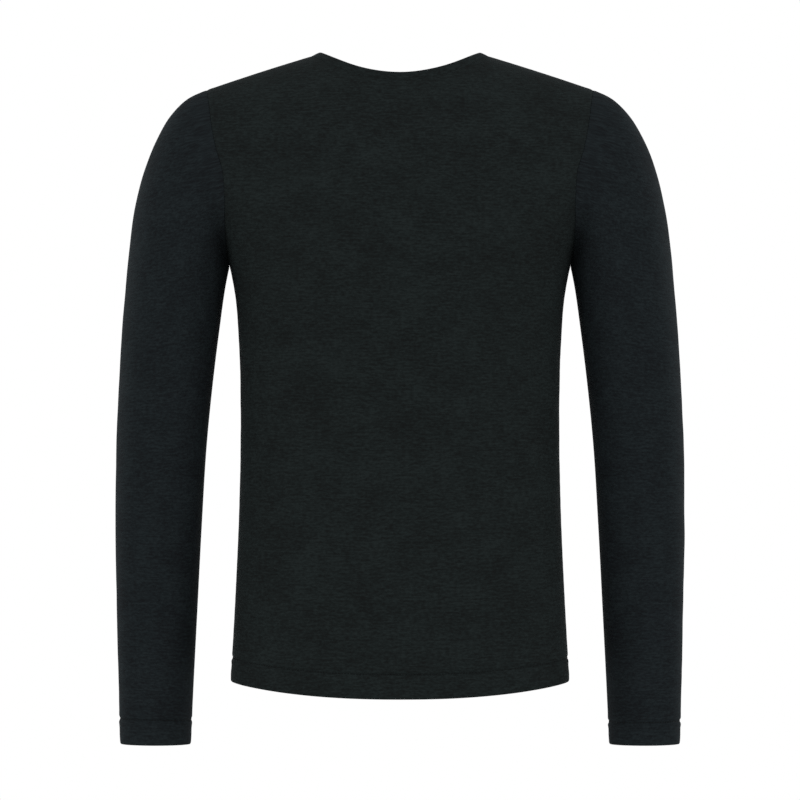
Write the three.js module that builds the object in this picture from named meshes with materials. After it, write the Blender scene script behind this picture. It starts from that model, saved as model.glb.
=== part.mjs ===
// A slim, long-sleeved crew-neck base layer top in fine merino jersey, filled out in the round as if worn.
// Millimetres. +X is the wearer's right, +Y the wearer's front and +Z up. The origin is midway between the
// two neck points, where the shoulder seams meet the neckline.
// Pieces: back, front, two set-in sleeves and a folded neckband. Hems and cuffs are turned up inside.

import * as THREE from "three";

// The cloth and its seams
const CLOTH = 1.4;
const TURNED_CLOTH = 2.4;
const SEAM_GAP = 0.3;
const HEM_HEIGHT = 24.5;
const STITCH_GROOVE = 0.5;
const STITCH_REACH = 2;

// The neckband, a folded strip sewn to the neckline
const BAND_WIDTH = 10;
const BAND_THICKNESS = 2.3;
const BAND_PROUD = 0.45;
const BAND_CROWN = 0.15;

// Where the seams meet, on the wearer's right
const NECK_POINT_X = 91.8;
const SHOULDER = { x: 200.3, z: -35 };
const ARMPIT = { x: 177.2, z: -217 };
const HEM_LEVEL = -649;

// The shoulder seam falls away from the neck point, a little faster towards the arm
const SHOULDER_SLOPE = 0.3;
const SHOULDER_CURVE = 0.00021;

// The hem hangs lower at the middle than at the side seams
const HEM_SWEEP = 13.3;
const HEM_SWEEP_POWER = 2.25;
const HEM_SWEEP_FADES = 170;

// How square the body's cross section is: 2 would be an ellipse
const BODY_SQUARENESS = 2.3;

// Half width of the body, and its depth behind and before the side seams, from the hem up to the shoulder.
// Above the armpit the half width is that of the whole figure, arms and all, and the armhole cuts it off.
const BODY_SECTIONS = [
  { level: -649, halfWidth: 175.9, backDepth: 106, frontDepth: 98 },
  { level: -560, halfWidth: 170.9, backDepth: 102, frontDepth: 97 },
  { level: -466, halfWidth: 166.9, backDepth: 92, frontDepth: 99 },
  { level: -373, halfWidth: 165.5, backDepth: 91, frontDepth: 104 },
  { level: -295, halfWidth: 167.4, backDepth: 101, frontDepth: 111 },
  { level: -248, halfWidth: 171.2, backDepth: 108, frontDepth: 115 },
  { level: -217, halfWidth: 177.2, backDepth: 112, frontDepth: 117 },
  { level: -203, halfWidth: 180.8, backDepth: 113.5, frontDepth: 116.5 },
  { level: -186, halfWidth: 188.8, backDepth: 114.5, frontDepth: 115 },
  { level: -164, halfWidth: 203.5, backDepth: 115, frontDepth: 112 },
  { level: -139, halfWidth: 221.5, backDepth: 115, frontDepth: 107.5 },
  { level: -110, halfWidth: 235, backDepth: 114, frontDepth: 101 },
  { level: -35, halfWidth: 252.6, backDepth: 110, frontDepth: 84 },
];

// The two body panels. The crown powers round the panel over to the shoulder seam, at its middle and its side.
// A neckline hangs its drop below the neck points. Its bow is near 1 for a shallow dip, 0.5 for a round one.
// The band stands steeper than the panel by its lift, or leans further in where that is less than 0.
const BACK = {
  facing: -1,
  depth: "backDepth",
  crownMiddle: 2.1,
  crownSide: 2.45,
  armholeDip: 0,
  neckDrop: 28.8,
  neckBow: 1,
  bandLift: 0.5,
};
const FRONT = {
  facing: 1,
  depth: "frontDepth",
  crownMiddle: 2.05,
  crownSide: 2.6,
  armholeDip: THREE.MathUtils.degToRad(4),
  neckDrop: 92,
  neckBow: 0.6,
  bandLift: -0.1,
};

// The armhole leaves the side seam at the armpit and turns inwards by this much of the body's section
const ARMHOLE_TURN = THREE.MathUtils.degToRad(40);
const ARMHOLE_TURN_ENDS = 0.55;

// The sleeve's edges seen from behind, away from the body and next to it, by the distance down the outer one,
// with the sleeve's half depth and how far the arm reaches forward
const SLEEVE_SECTIONS = [
  {
    along: 0,
    outerX: SHOULDER.x,
    outerZ: SHOULDER.z,
    innerX: ARMPIT.x,
    innerZ: ARMPIT.z,
    halfDepth: 71,
    forward: 0,
  },
  { along: 24.6, outerX: 221.6, outerZ: -47.3, innerX: 177.7, innerZ: -219.5, halfDepth: 69.5, forward: 0 },
  { along: 48.6, outerX: 238.9, outerZ: -64, innerX: 178.3, innerZ: -223, halfDepth: 67.5, forward: 0 },
  { along: 81.2, outerX: 255.5, outerZ: -92, innerX: 179.6, innerZ: -229.5, halfDepth: 65, forward: 0 },
  { along: 114.5, outerX: 267.2, outerZ: -123.2, innerX: 181.5, innerZ: -239, halfDepth: 62.5, forward: 0.5 },
  { along: 146.6, outerX: 274.8, outerZ: -154.4, innerX: 183.7, innerZ: -252.5, halfDepth: 60, forward: 1 },
  { along: 193.9, outerX: 281.5, outerZ: -201.2, innerX: 187.3, innerZ: -279, halfDepth: 57, forward: 2 },
  { along: 256.6, outerX: 287.4, outerZ: -263.6, innerX: 193.2, innerZ: -325, halfDepth: 53, forward: 4 },
  { along: 350.4, outerX: 293.4, outerZ: -357.2, innerX: 201, innerZ: -400, halfDepth: 47.5, forward: 7 },
  { along: 459.8, outerX: 296.8, outerZ: -466.6, innerX: 206.7, innerZ: -488.3, halfDepth: 42.5, forward: 12 },
  { along: 554, outerX: 295.8, outerZ: -560.7, innerX: 211.1, innerZ: -568.8, halfDepth: 38, forward: 18 },
  { along: 664, outerX: 293.8, outerZ: -670.8, innerX: 216.6, innerZ: -672.6, halfDepth: 33, forward: 25 },
  { along: 709.8, outerX: 292.6, outerZ: -716.6, innerX: 218.7, innerZ: -716.8, halfDepth: 31.5, forward: 28 },
];
const SLEEVE_LENGTH = 709.8;
// The armhole's shape fades out of the sleeve, and the sleeve leaves the body smoothly, over these lengths
const ARMHOLE_FADES = 170;
const SLEEVE_LEAVES_OVER = 75;
// The armpit folds sharply. The fold opens out to a smooth seam at this share of the way up the armhole.
const FOLD_OPENS = 0.5;

// How finely the cloth is cut into facets
const NECK_COLUMNS = 8;
const SHOULDER_COLUMNS = 6;
const BODY_ROWS = 8;
const ARMHOLE_ROWS = 11;
const SLEEVE_RINGS = 17;

const UP = new THREE.Vector3(0, 0, 1);

// Reads a column of a table at any place between its rows, by smooth cubic pieces through the rows
function readTable(rows, along, column, at) {
  const last = rows.length - 2;
  let i = 0;
  while (i < last && rows[i + 1][along] < at) i += 1;
  const secant = (k) => (rows[k + 1][column] - rows[k][column]) / (rows[k + 1][along] - rows[k][along]);
  const slope = (k) => {
    if (k === 0) return secant(0);
    if (k === rows.length - 1) return secant(k - 1);
    const before = rows[k][along] - rows[k - 1][along];
    const after = rows[k + 1][along] - rows[k][along];
    return (secant(k - 1) * after + secant(k) * before) / (before + after);
  };
  const span = rows[i + 1][along] - rows[i][along];
  const t = THREE.MathUtils.clamp((at - rows[i][along]) / span, 0, 1);
  const ease = t * t * (3 - 2 * t);
  const value = rows[i][column] * (1 - ease) + rows[i + 1][column] * ease;
  return value + span * t * (1 - t) * (slope(i) * (1 - t) - slope(i + 1) * t);
}

// The height of the shoulder line, which levels out between the neck points
function shoulderLine(x) {
  const out = x - NECK_POINT_X;
  if (out > 0) return -SHOULDER_SLOPE * out - SHOULDER_CURVE * out * out;
  return (SHOULDER_SLOPE * (NECK_POINT_X ** 2 - x ** 2)) / (2 * NECK_POINT_X);
}

// Share of the way from the armpit's level up to the shoulder's
function riseOf(level) {
  return THREE.MathUtils.clamp((level - ARMPIT.z) / (SHOULDER.z - ARMPIT.z), 0, 1);
}

function levelOf(rise) {
  return ARMPIT.z + rise * (SHOULDER.z - ARMPIT.z);
}

// A point on the body's surface. The angle is 0 at the middle of the panel and a quarter turn at the side.
function bodyPoint(panel, angle, level) {
  const rise = riseOf(level);
  const halfWidth = readTable(BODY_SECTIONS, "level", "halfWidth", level);
  const depth = readTable(BODY_SECTIONS, "level", panel.depth, level);
  const across = Math.sin(angle) ** (2 / BODY_SQUARENESS);
  const x = halfWidth * across;
  const crownPower = THREE.MathUtils.lerp(panel.crownMiddle, panel.crownSide, Math.sin(angle) ** 2);
  const crown = (1 - rise ** crownPower) ** (1 / crownPower);
  const y = panel.facing * depth * Math.max(Math.cos(angle), 0) ** (2 / BODY_SQUARENESS) * crown;
  const nearHem = 1 - THREE.MathUtils.smoothstep(level, HEM_LEVEL, HEM_LEVEL + HEM_SWEEP_FADES);
  const sweep = HEM_SWEEP * (1 - across ** HEM_SWEEP_POWER) * nearHem;
  const z = level + rise ** 1.5 * (shoulderLine(x) - SHOULDER.z) - sweep;
  return new THREE.Vector3(x, y, z);
}

// The way out of the body's surface
function bodyOut(panel, angle, level) {
  const turn = angle < Math.PI / 4 ? 1e-3 : -1e-3;
  const lift = riseOf(level) > 0.5 ? -0.02 : 0.02;
  const point = bodyPoint(panel, angle, level);
  const round = bodyPoint(panel, angle + turn, level).sub(point).multiplyScalar(Math.sign(turn));
  const up = bodyPoint(panel, angle, level + lift).sub(point).multiplyScalar(Math.sign(lift));
  return new THREE.Vector3().crossVectors(round, up).multiplyScalar(-panel.facing).normalize();
}

// Where the armhole cuts the body's section, at a share of the rise
function armholeAngle(panel, rise) {
  const turned = Math.sin((Math.PI / 2) * Math.min(1, rise / ARMHOLE_TURN_ENDS));
  return Math.PI / 2 - ARMHOLE_TURN * turned - panel.armholeDip * Math.sin(Math.PI * rise) ** 2;
}

// Steps up the armhole are even round its curve, so they bunch in height at the armpit and the shoulder
function riseAtStep(step) {
  return (1 - Math.cos(Math.PI * step)) / 2;
}

const SHOULDER_ANGLE = armholeAngle(BACK, 1);
const SHOULDER_HALF_WIDTH = readTable(BODY_SECTIONS, "level", "halfWidth", SHOULDER.z);
const NECK_ANGLE = Math.asin((NECK_POINT_X / SHOULDER_HALF_WIDTH) ** (BODY_SQUARENESS / 2));

// The rise at which a column inside the neck point ends, at the neckline
function necklineRise(panel, angle) {
  let low = 0;
  let high = 1;
  for (let halving = 0; halving < 40; halving += 1) {
    const middle = (low + high) / 2;
    const p = bodyPoint(panel, angle, levelOf(middle));
    const inside = Math.max(0, 1 - (p.x / NECK_POINT_X) ** 2);
    const neckline = -panel.neckDrop * inside ** panel.neckBow;
    if (p.z < neckline) low = middle;
    else high = middle;
  }
  return (low + high) / 2;
}

// The seam between a panel and the sleeve: its points from the armpit, step 0, to the shoulder, step 1
function armholePoint(panel, step) {
  const rise = riseAtStep(step);
  return bodyPoint(panel, armholeAngle(panel, rise), levelOf(rise));
}

// The armhole seam's own directions: the way out of the panel, and the way across the seam on to the sleeve.
// Where the armpit folds, the way across is square to the seam's whole loop.
function armholeFrame(panel, step) {
  const near = 0.01;
  const rise = riseAtStep(step);
  const point = armholePoint(panel, step);
  const tangent = armholePoint(panel, Math.min(1, step + near));
  tangent.sub(armholePoint(panel, Math.max(0, step - near)));
  const out = bodyOut(panel, armholeAngle(panel, rise), levelOf(rise));
  if (step === 0 || step === 1) {
    tangent.set(0, 1, 0);
    out.y = 0;
  }
  tangent.normalize();
  out.addScaledVector(tangent, -out.dot(tangent)).normalize();
  const fold = 1 - THREE.MathUtils.smoothstep(step, 0, FOLD_OPENS);
  const outOfLoop = new THREE.Vector3(0, point.y, point.z - (ARMPIT.z + SHOULDER.z) / 2).normalize();
  const away = out.clone().lerp(outOfLoop, fold);
  const across = new THREE.Vector3().crossVectors(away, tangent).normalize();
  if (across.x < 0) across.negate();
  return { point, out, across, fold };
}

// Joins closed loops of points into one solid skin. Where the sweep doesn't close, the first and last loops
// are capped by strips, which suits a loop that runs out along one face of a wall and back along the other.
function solidFromLoops(loops, sweepCloses) {
  const size = loops[0].length;
  const positions = loops.flat().flatMap((p) => [p.x, p.y, p.z]);
  const at = (k, m) => (k % loops.length) * size + (m % size);
  const index = [];
  const quad = (a, b, c, d) => {
    const point = (i) => new THREE.Vector3().fromArray(positions, 3 * i);
    if (point(a).distanceTo(point(c)) <= 1.1 * point(b).distanceTo(point(d))) index.push(a, b, c, a, c, d);
    else index.push(a, b, d, b, c, d);
  };
  const sweeps = sweepCloses ? loops.length : loops.length - 1;
  for (let k = 0; k < sweeps; k += 1) {
    for (let m = 0; m < size; m += 1) quad(at(k, m), at(k, m + 1), at(k + 1, m + 1), at(k + 1, m));
  }
  if (!sweepCloses) {
    const end = loops.length - 1;
    for (let m = 0; m < size / 2 - 1; m += 1) {
      quad(at(0, m + 1), at(0, m), at(0, size - 1 - m), at(0, size - 2 - m));
      quad(at(end, m), at(end, m + 1), at(end, size - 2 - m), at(end, size - 1 - m));
    }
  }
  const geometry = new THREE.BufferGeometry();
  geometry.setAttribute("position", new THREE.Float32BufferAttribute(positions, 3));
  geometry.setIndex(index);
  if (enclosedVolume(geometry) < 0) geometry.setIndex(index.reverse());
  geometry.computeVertexNormals();
  return geometry;
}

function enclosedVolume(geometry) {
  const position = geometry.getAttribute("position");
  const corner = (i) => new THREE.Vector3().fromBufferAttribute(position, geometry.index.getX(i));
  let volume = 0;
  for (let i = 0; i < geometry.index.count; i += 3) {
    volume += corner(i).dot(corner(i + 1).cross(corner(i + 2))) / 6;
  }
  return volume;
}

function mirrored(p) {
  return new THREE.Vector3(-p.x, p.y, p.z);
}

// Levels of the rows below the armpit: the hem's edge, its stitch line with a row on each side, and even rows
function lowerLevels() {
  const stitches = HEM_LEVEL + HEM_HEIGHT;
  const levels = [HEM_LEVEL, stitches - STITCH_REACH, stitches, stitches + STITCH_REACH];
  for (let row = 1; row <= BODY_ROWS; row += 1) {
    levels.push(THREE.MathUtils.lerp(stitches + STITCH_REACH, ARMPIT.z, row / BODY_ROWS));
  }
  return levels;
}

// The columns that end at the neckline, as shares of the way out from the middle of the panel to its armhole.
// They are even in length round the neckline, and the last one ends at the neck point.
function necklineShares(panel) {
  const neck = NECK_ANGLE / SHOULDER_ANGLE;
  const samples = 240;
  const walk = [];
  let before = null;
  let length = 0;
  for (let i = 0; i <= samples; i += 1) {
    const share = neck * Math.sin((Math.PI / 2) * (i / samples));
    const angle = share * SHOULDER_ANGLE;
    const rise = i < samples ? necklineRise(panel, angle) : 1;
    const point = bodyPoint(panel, angle, levelOf(rise));
    if (before) length += point.distanceTo(before);
    before = point;
    walk.push({ length, share });
  }
  const shares = [];
  for (let c = 0; c <= NECK_COLUMNS; c += 1) {
    const wanted = (length * c) / NECK_COLUMNS;
    shares.push(walk.find((step) => step.length >= wanted - 1e-9).share);
  }
  return shares;
}

// One half of a body panel, as rows of outer points from the hem to the top edge, with their wall directions
function halfPanel(panel) {
  const neck = necklineShares(panel);
  const side = NECK_COLUMNS + SHOULDER_COLUMNS;
  const columns = [];
  for (let c = 0; c <= side; c += 1) {
    const even = c / side;
    if (c < NECK_COLUMNS) {
      columns.push({ even, top: neck[c], endRise: necklineRise(panel, neck[c] * SHOULDER_ANGLE) });
    } else {
      const beyond = (c - NECK_COLUMNS) / SHOULDER_COLUMNS;
      columns.push({ even, top: THREE.MathUtils.lerp(neck[NECK_COLUMNS], 1, beyond), endRise: 1 });
    }
  }
  const levels = lowerLevels();
  const places = levels.map((level) => columns.map(({ even }) => ({ angle: (even * Math.PI) / 2, level })));
  for (let row = 1; row <= ARMHOLE_ROWS; row += 1) {
    const rise = riseAtStep(row / ARMHOLE_ROWS);
    const turn = armholeAngle(panel, rise);
    places.push(
      columns.map(({ even, top, endRise }) => ({
        angle: THREE.MathUtils.lerp(even, top, rise) * turn,
        level: levelOf(rise * (1 - (1 - endRise) * rise)),
      })),
    );
  }
  const top = places.length - 1;
  const grid = places.map((row) => row.map(({ angle, level }) => bodyPoint(panel, angle, level)));
  const out = places.map((row, r) =>
    row.map(({ angle, level }, c) => {
      const way = bodyOut(panel, angle, level);
      const onSideSeam = c === side && r < levels.length;
      const onShoulderSeam = c >= NECK_COLUMNS && r === top;
      return onSideSeam || onShoulderSeam ? way.setY(0).normalize() : way;
    }),
  );
  for (let row = 0; row <= ARMHOLE_ROWS; row += 1) {
    const seam = armholeFrame(panel, row / ARMHOLE_ROWS);
    const r = levels.length - 1 + row;
    grid[r][side] = seam.point.clone().addScaledVector(seam.across, -SEAM_GAP / 2);
    out[r][side] = seam.out;
  }
  const stitchRow = levels.indexOf(HEM_LEVEL + HEM_HEIGHT);
  grid[stitchRow].forEach((p, c) => p.addScaledVector(out[stitchRow][c], -STITCH_GROOVE));
  const thickness = levels.map((level) => (level <= HEM_LEVEL + HEM_HEIGHT ? TURNED_CLOTH : CLOTH));
  return { grid, out, thickness, top };
}

// The neckline as the band meets it, from the middle of the back or front to the neck point
function necklineFrames(panel, half) {
  const frames = [];
  const row = half.grid[half.top];
  for (let c = 0; c <= NECK_COLUMNS; c += 1) {
    const before = c > 0 ? row[c - 1] : mirrored(row[1]);
    const tangent = (c < NECK_COLUMNS ? row[c + 1] : row[c]).clone().sub(before);
    if (c === NECK_COLUMNS) tangent.set(0, panel.facing, 0);
    tangent.normalize();
    const out = half.out[half.top][c].clone();
    out.addScaledVector(tangent, -out.dot(tangent)).normalize();
    const upward = new THREE.Vector3().crossVectors(out, tangent).normalize();
    if (upward.z < 0) upward.negate();
    const lift = panel.bandLift * (1 - (c / NECK_COLUMNS) ** 2);
    const rising = upward.clone().addScaledVector(UP, lift).normalize();
    frames.push({ point: row[c].clone(), out, upward, rising });
  }
  return frames;
}

function makePanel(panel, half, neckline) {
  const { grid, out, thickness, top } = half;
  neckline.forEach((frame, c) => {
    out[top][c].copy(frame.out);
    grid[top][c].addScaledVector(frame.upward, -SEAM_GAP / 2);
  });
  const clear = (panel.facing * SEAM_GAP) / 2;
  const loops = grid.map((row, r) => {
    const face = row.map((p) => p.clone().setY(p.y + clear));
    const wall = thickness[r] ?? CLOTH;
    const lining = face.map((p, c) => p.clone().addScaledVector(out[r][c], -wall));
    const outerFace = [...face.slice(1).reverse().map(mirrored), ...face];
    const innerFace = [...lining.slice().reverse(), ...lining.slice(1).map(mirrored)];
    return [...outerFace, ...innerFace];
  });
  return solidFromLoops(loops, false);
}

// A point on the right sleeve's outer face. The turn is 0 at the shoulder and 1 at the armpit.
function sleevePoint(panel, turn, along) {
  const section = (distance) => {
    const get = (column) => readTable(SLEEVE_SECTIONS, "along", column, distance);
    const outerShare = (1 + Math.cos(Math.PI * turn)) / 2;
    return new THREE.Vector3(
      THREE.MathUtils.lerp(get("innerX"), get("outerX"), outerShare),
      get("forward") + panel.facing * get("halfDepth") * Math.sin(Math.PI * turn),
      THREE.MathUtils.lerp(get("innerZ"), get("outerZ"), outerShare),
    );
  };
  const seam = armholeFrame(panel, 1 - turn);
  const point = section(along);
  const start = section(0);
  const seamShape = seam.point.clone().sub(start);
  const fading = Math.max(0, 1 - along / ARMHOLE_FADES) ** 2;
  point.addScaledVector(seamShape, fading);
  if (along < SLEEVE_LEAVES_OVER) {
    const first = 5;
    const leaving = section(first).sub(start).addScaledVector(seamShape, -2 * (first / ARMHOLE_FADES));
    const pace = leaving.length() / first;
    const wanted = seam.across.clone().multiplyScalar(pace).addScaledVector(leaving, -1 / first);
    const bump = along * (1 - along / SLEEVE_LEAVES_OVER) ** 2;
    point.addScaledVector(wanted, bump * (1 - seam.fold));
  }
  return point;
}

// Distances of the sleeve's rings down its outer edge, which are closer together near the armhole
function ringDistances() {
  const stitches = SLEEVE_LENGTH - HEM_HEIGHT;
  const distances = [];
  for (let ring = 0; ring <= SLEEVE_RINGS; ring += 1) {
    distances.push((stitches - STITCH_REACH) * (ring / SLEEVE_RINGS) ** 1.25);
  }
  return [...distances, stitches, stitches + STITCH_REACH, SLEEVE_LENGTH];
}

function makeSleeve(side) {
  const distances = ringDistances();
  const stitches = SLEEVE_LENGTH - HEM_HEIGHT;
  const lines = [];
  const addLine = (panel, row) => {
    const turn = row / ARMHOLE_ROWS;
    const seam = armholeFrame(panel, 1 - turn);
    const line = distances.map((along) => sleevePoint(panel, turn, along));
    line[0].addScaledVector(seam.across, SEAM_GAP / 2);
    lines.push({ line, seam });
  };
  for (let row = 0; row <= ARMHOLE_ROWS; row += 1) addLine(BACK, row);
  for (let row = ARMHOLE_ROWS - 1; row > 0; row -= 1) addLine(FRONT, row);
  const count = lines.length;
  const loops = lines.map(({ line, seam }, k) => {
    const before = lines[(k + count - 1) % count].line;
    const after = lines[(k + 1) % count].line;
    const out = line.map((p, i) => {
      const down = line[Math.min(i + 1, line.length - 1)].clone().sub(line[Math.max(i - 1, 0)]);
      const round = after[i].clone().sub(before[i]);
      const own = new THREE.Vector3().crossVectors(round, down).normalize();
      return i === 0 ? seam.out.clone().lerp(own, Math.min(1, 2 * seam.fold)).normalize() : own;
    });
    const face = line.map((p, i) => {
      const groove = distances[i] === stitches ? STITCH_GROOVE : 0;
      return p.clone().addScaledVector(out[i], -groove);
    });
    const lining = face.map((p, i) => {
      const wall = distances[i] >= stitches ? TURNED_CLOTH : CLOTH;
      return p.clone().addScaledVector(out[i], -wall);
    });
    const loop = [...face, ...lining.reverse()];
    return side < 0 ? loop.map(mirrored) : loop;
  });
  return solidFromLoops(loops, true);
}

// The neckband follows the necklines of both panels and carries on the way the cloth is heading
function makeNeckband(backLine, frontLine) {
  const right = [...backLine, ...frontLine.slice(0, -1).reverse()];
  const left = right.slice(1, -1).reverse().map(({ point, out, upward, rising }) => ({
    point: mirrored(point),
    out: mirrored(out),
    upward: mirrored(upward),
    rising: mirrored(rising),
  }));
  const loops = [...right, ...left].map(({ point, out, upward, rising }) => {
    const foot = point.clone().addScaledVector(upward, SEAM_GAP / 2);
    const at = (height, proud) =>
      foot.clone().addScaledVector(rising, height).addScaledVector(out, proud);
    const inside = BAND_PROUD - BAND_THICKNESS;
    const fold = BAND_THICKNESS * 0.3;
    return [
      at(0, BAND_PROUD),
      at(BAND_WIDTH / 2, BAND_PROUD + BAND_CROWN),
      at(BAND_WIDTH - fold, BAND_PROUD),
      at(BAND_WIDTH, BAND_PROUD - fold),
      at(BAND_WIDTH, inside + fold),
      at(BAND_WIDTH - fold, inside),
      at(0, inside),
    ];
  });
  return solidFromLoops(loops, true);
}

const jersey = new THREE.MeshStandardMaterial({ color: 0x1f2426, roughness: 0.92, metalness: 0 });
const neckJersey = new THREE.MeshStandardMaterial({ color: 0x1d2223, roughness: 0.9, metalness: 0 });

function named(name, geometry, material) {
  const mesh = new THREE.Mesh(geometry, material.clone());
  mesh.name = name;
  return mesh;
}

const backHalf = halfPanel(BACK);
const frontHalf = halfPanel(FRONT);
const backNeckline = necklineFrames(BACK, backHalf);
const frontNeckline = necklineFrames(FRONT, frontHalf);

const top = new THREE.Group();
top.add(
  named("back", makePanel(BACK, backHalf, backNeckline), jersey),
  named("front", makePanel(FRONT, frontHalf, frontNeckline), jersey),
  named("sleeve_right", makeSleeve(1), jersey),
  named("sleeve_left", makeSleeve(-1), jersey),
  named("neckband", makeNeckband(backNeckline, frontNeckline), neckJersey),
);

export default top;
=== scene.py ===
"""A slim long-sleeved crew-neck base layer top, filled out in the round as if worn, seen from behind.
Sizes are in millimetres until a mesh is made. +X is the wearer's right, +Y the wearer's front, +Z up."""

import math

import bpy
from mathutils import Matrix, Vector, noise


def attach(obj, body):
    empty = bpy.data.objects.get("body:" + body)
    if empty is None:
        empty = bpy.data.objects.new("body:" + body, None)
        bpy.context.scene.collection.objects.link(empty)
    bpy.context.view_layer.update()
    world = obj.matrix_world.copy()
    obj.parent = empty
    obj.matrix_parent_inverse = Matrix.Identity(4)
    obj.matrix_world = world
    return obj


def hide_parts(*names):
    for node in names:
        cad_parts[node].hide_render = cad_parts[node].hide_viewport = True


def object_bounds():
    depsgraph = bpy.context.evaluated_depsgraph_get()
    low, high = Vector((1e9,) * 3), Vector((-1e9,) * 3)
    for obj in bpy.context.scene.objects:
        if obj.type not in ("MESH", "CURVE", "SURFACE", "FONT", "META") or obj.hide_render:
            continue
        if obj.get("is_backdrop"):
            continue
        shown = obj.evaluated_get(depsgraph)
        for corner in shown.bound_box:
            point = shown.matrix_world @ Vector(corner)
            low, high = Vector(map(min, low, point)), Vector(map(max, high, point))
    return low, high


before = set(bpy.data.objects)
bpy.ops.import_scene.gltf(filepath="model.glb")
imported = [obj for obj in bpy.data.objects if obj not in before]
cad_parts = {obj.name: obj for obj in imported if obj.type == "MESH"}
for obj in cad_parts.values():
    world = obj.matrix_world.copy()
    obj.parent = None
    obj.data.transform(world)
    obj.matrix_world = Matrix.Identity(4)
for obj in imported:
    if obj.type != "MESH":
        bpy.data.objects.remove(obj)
cad_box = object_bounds()


# ---------------------------------------------------------------------------------------------------------
# The back: one panel of fine merino single jersey, charcoal melange, 200 g/m2 and under a millimetre thick.
# It is cut from hem to shoulder in one piece and its hem is folded up inside and stitched. Filled out, it
# lies smooth over the shoulder blades, draws in at the waist and spreads a little over the seat.

MM = 0.001
CLOTH = 0.8
TURNED_CLOTH = 1.6
SEAM_GAP = 0.3
HEM_HEIGHT = 24.5

NECK_POINT_X = 91.8
SHOULDER_X, SHOULDER_Z = 200.3, -35
ARMPIT_X, ARMPIT_Z = 177.2, -217
ARMHOLE_MIDDLE = (ARMPIT_Z + SHOULDER_Z) / 2
HEM_LEVEL = -649
SHOULDER_SLOPE = 0.3
SHOULDER_CURVE = 0.00021
HEM_SWEEP, HEM_SWEEP_POWER, HEM_SWEEP_FADES = 13.3, 2.25, 170
BODY_SQUARENESS = 2.3

# level, half width, depth behind the side seams, depth before them
BODY_SECTIONS = [
    (-649, 175.9, 106, 98),
    (-560, 170.9, 102, 97),
    (-466, 166.9, 92, 99),
    (-373, 165.5, 91, 104),
    (-295, 167.4, 101, 111),
    (-248, 171.2, 108, 115),
    (-217, 177.2, 112, 117),
    (-203, 180.8, 113.5, 116.5),
    (-186, 188.8, 114.5, 115),
    (-164, 203.5, 115, 112),
    (-139, 221.5, 115, 107.5),
    (-110, 235, 114, 101),
    (-35, 252.6, 110, 84),
]
BACK = {
    "facing": -1,
    "depth": 2,
    "crown_middle": 2.1,
    "crown_side": 2.45,
    "armhole_dip": 0,
    "neck_drop": 28.8,
    "neck_bow": 1,
    "band_lift": 0.5,
}
ARMHOLE_TURN = math.radians(40)
ARMHOLE_TURN_ENDS = 0.55

# Soft creases in the back: each runs through three points, given by the distance from the middle of the back
# and the height, and has a depth, less than 0 for a ridge, and a half width
BACK_CREASES = [
    # the two sharp pleats above the left armpit, and a shallow one above the right
    (-187, -160, -194, -182, -209, -208, -1.4, 1.3),
    (-181, -164, -189, -184, -200, -206, -1.2, 1.2),
    (188, -168, 196, -186, 206, -206, -0.4, 1.8),
    # long shallow pulls that start at the armpits and die out over the shoulder blades
    (-212, -224, -170, -238, -112, -232, 1.1, 10),
    (-208, -246, -160, -268, -95, -276, 1.0, 13),
    (210, -228, 168, -246, 120, -244, 1.0, 11),
    (206, -256, 150, -276, 88, -270, 0.8, 14),
    # drapes across the small of the back, deeper towards the side seams
    (-205, -330, -150, -348, -70, -342, 1.1, 12),
    (-206, -378, -160, -389, -98, -392, 1.0, 10),
    (-202, -428, -140, -430, -60, -418, 0.9, 14),
    (204, -318, 160, -332, 104, -338, 1.0, 11),
    (206, -362, 140, -377, 60, -372, 1.1, 13),
    (204, -415, 168, -424, 118, -428, 0.8, 10),
    # hem that hangs in slow waves
    (-150, -560, -146, -610, -150, -660, 0.8, 20),
    (-52, -590, -48, -630, -46, -664, 0.7, 24),
    (66, -575, 60, -625, 58, -664, 0.8, 26),
    (160, -570, 158, -620, 162, -660, 0.7, 18),
]


def read_table(rows, column, at):
    """A table's column at any place along its first column, by smooth cubic pieces through the rows."""
    last = len(rows) - 1
    i = 0
    while i < last - 1 and rows[i + 1][0] < at:
        i += 1

    def secant(k):
        return (rows[k + 1][column] - rows[k][column]) / (rows[k + 1][0] - rows[k][0])

    def slope(k):
        if k == 0 or k == last:
            return secant(0 if k == 0 else last - 1)
        before, after = rows[k][0] - rows[k - 1][0], rows[k + 1][0] - rows[k][0]
        return (secant(k - 1) * after + secant(k) * before) / (before + after)

    span = rows[i + 1][0] - rows[i][0]
    t = min(1, max(0, (at - rows[i][0]) / span))
    ease = t * t * (3 - 2 * t)
    value = rows[i][column] * (1 - ease) + rows[i + 1][column] * ease
    return value + span * t * (1 - t) * (slope(i) * (1 - t) - slope(i + 1) * t)


def smooth(value, start, end):
    t = min(1, max(0, (value - start) / (end - start)))
    return t * t * (3 - 2 * t)


def mix(a, b, share):
    return a + (b - a) * share


def shoulder_line(x):
    out = x - NECK_POINT_X
    if out > 0:
        return -SHOULDER_SLOPE * out - SHOULDER_CURVE * out * out
    return SHOULDER_SLOPE * (NECK_POINT_X**2 - x**2) / (2 * NECK_POINT_X)


def level_of(rise):
    return ARMPIT_Z + rise * (SHOULDER_Z - ARMPIT_Z)


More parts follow.
